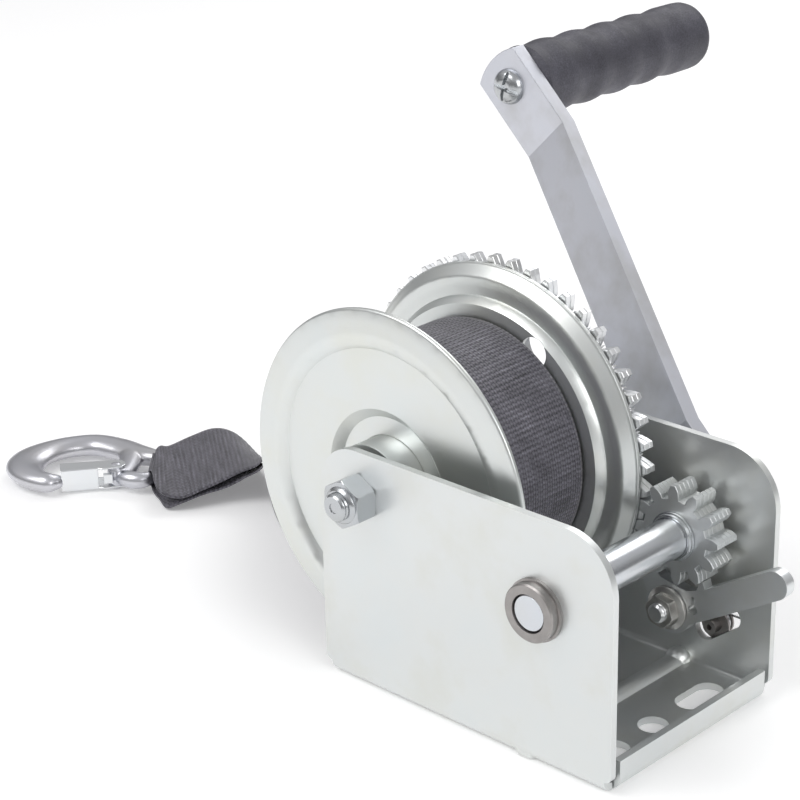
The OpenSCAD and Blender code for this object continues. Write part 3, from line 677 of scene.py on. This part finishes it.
def punch(made, x, z, radius):
    """Cut a round hole right through along Y; place and radius in millimetres."""
    bpy.ops.mesh.primitive_cylinder_add(vertices=48, radius=radius * MM, depth=0.2,
                                        location=(x * MM, 0, z * MM), rotation=(math.pi / 2, 0, 0))
    cutter = bpy.context.object
    bpy.context.view_layer.update()
    cut = made.modifiers.new("hole", "BOOLEAN")
    cut.object = cutter
    cut.operation = "DIFFERENCE"
    cut.solver = "MANIFOLD"
    apply_modifiers(made)
    bpy.data.objects.remove(cutter, do_unlink=True)


def outward(made):
    """Turn every face of a closed mesh to the outside."""
    bm = bmesh.new()
    bm.from_mesh(made.data)
    bmesh.ops.recalc_face_normals(bm, faces=bm.faces)
    bm.to_mesh(made.data)
    bm.free()


def inset(points, depth):
    """The outline moved inwards by depth, for the rounded edge of a stamped layer."""
    made = []
    for (px, pz), (x, z), (qx, qz) in zip(points[-1:] + points[:-1], points, points[1:] + points[:1]):
        a, b = Vector((z - pz, px - x)).normalized(), Vector((qz - z, x - qx)).normalized()
        out = (a + b).normalized()
        reach = depth / max(0.5, out.dot(a))
        made.append((x - out[0] * reach, z - out[1] * reach))
    return made


def stamped_gear(name, node, body, teeth, phase, centre, y0, layers, layer_t, bore,
                 material, edge=0.28, hole=None):
    """Gear built of stamped layers, each with its edges rounded by the press; in millimetres."""
    verts, faces = [], []
    gap = 0.02
    outline = gear_outline(teeth, phase)
    n = len(outline)
    # direction of every outline point, made to grow from each to the next, for the round inner rings
    start = math.atan2(outline[0][1], outline[0][0])
    turn, angles = 0, []
    for x, z in outline:
        turn = max(turn + 0.0004, (math.atan2(z, x) - start + 0.1) % (2 * math.pi) - 0.1)
        angles.append(start + turn)
    root = min(math.hypot(x, z) for x, z in outline) - edge - 0.3
    inner, web = ([(r * math.cos(a), r * math.sin(a)) for a in angles] for r in (bore, root))
    rounded, chamfered = inset(outline, edge), inset(outline, edge * 0.3)
    for layer in range(layers):
        low, high = y0 + layer * layer_t, y0 + (layer + 1) * layer_t - gap
        rings = [(low, inner), (low, web), (low, rounded), (low + edge * 0.3, chamfered),
                 (low + edge, outline), (high - edge, outline), (high - edge * 0.3, chamfered),
                 (high, rounded), (high, web), (high, inner)]
        base = len(verts)
        for y, ring in rings:
            verts += [Vector((centre[0] + x, y, centre[1] + z)) for x, z in ring]
        faces += [tuple(base + i for i in f) for f in rings_to_faces(len(rings), n, closed=True)]
    made = mesh_object(name, verts, faces, material, smooth=False)
    made.data.transform(Matrix.Scale(MM, 4))
    outward(made)
    if hole:
        punch(made, *hole)
        made.data.polygons.foreach_set("use_smooth", [False] * len(made.data.polygons))
    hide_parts(node)
    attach(made, body)


# ---- assembly -------------------------------------------------------------------------------

# rounded edges of the CAD pieces, in millimetres
EDGES = {"frame": 0.22, "near_flange": 0.35, "gear_flange": 0.3, "drum_hub": 0.4, "crank_arm": 0.3,
         "drum_axle_nut": 0.5, "drum_axle_bolt": 0.5, "pawl": 0.5, "pawl_nut": 0.4, "pawl_bolt": 0.4,
         "crank_nut": 0.4, "crank_washer": 0.25, "grip_screw": 0.25, "thrust_ring": 0.3,
         "pinion_shaft": 1.2, "strap_pin": 0.3}
for edged, edge_width in EDGES.items():
    soften(NODES[edged], edge_width)

wound_strap()
strap_tail()
snap_hook()
hook_latch()
# direction from the drum to the pinion: a tooth of the gear meets a gap of the pinion on it
LINE = math.degrees(math.atan2(PINION_Z - DRUM_Z, PINION_X - DRUM_X))
HALF_TOOTH = 15
stamped_gear("pinion_laminations", "pinion_gear", "crank", teeth=12,
             phase=LINE + 180 + HALF_TOOTH, centre=(PINION_X, PINION_Z), y0=30.8, layers=5,
             layer_t=2.45, bore=8.02, material=PINION)
stamped_gear("drum_gear_plates", "drum_gear", "drum", teeth=48, phase=LINE,
             centre=(DRUM_X, DRUM_Z), y0=31, layers=2, layer_t=2.75, bore=19.02, material=GEAR,
             edge=0.4, hole=(DRUM_X + 20.8, DRUM_Z + 42.7, 10))


# ---- floor ----------------------------------------------------------------------------------

def floor():
    """Plain pale floor, a little below the base so that the two don't share a plane."""
    mesh = bpy.data.meshes.new("floor")
    half = 6
    mesh.from_pydata([(-half, -half, 0), (half, -half, 0), (half, half, 0), (-half, half, 0)], [],
                     [(0, 1, 2, 3)])
    made = bpy.data.objects.new("floor", mesh)
    scene.collection.objects.link(made)
    m = Maker("floor")
    m.bsdf.inputs["Base Color"].default_value = (0.95, 0.95, 0.95, 1)
    m.bsdf.inputs["Emission Color"].default_value = (1, 1, 1, 1)
    m.bsdf.inputs["Emission Strength"].default_value = 0.19
    m.bsdf.inputs["Roughness"].default_value = 0.9
    mesh.materials.append(m.mat)
    made.location.z = -0.0002


floor()
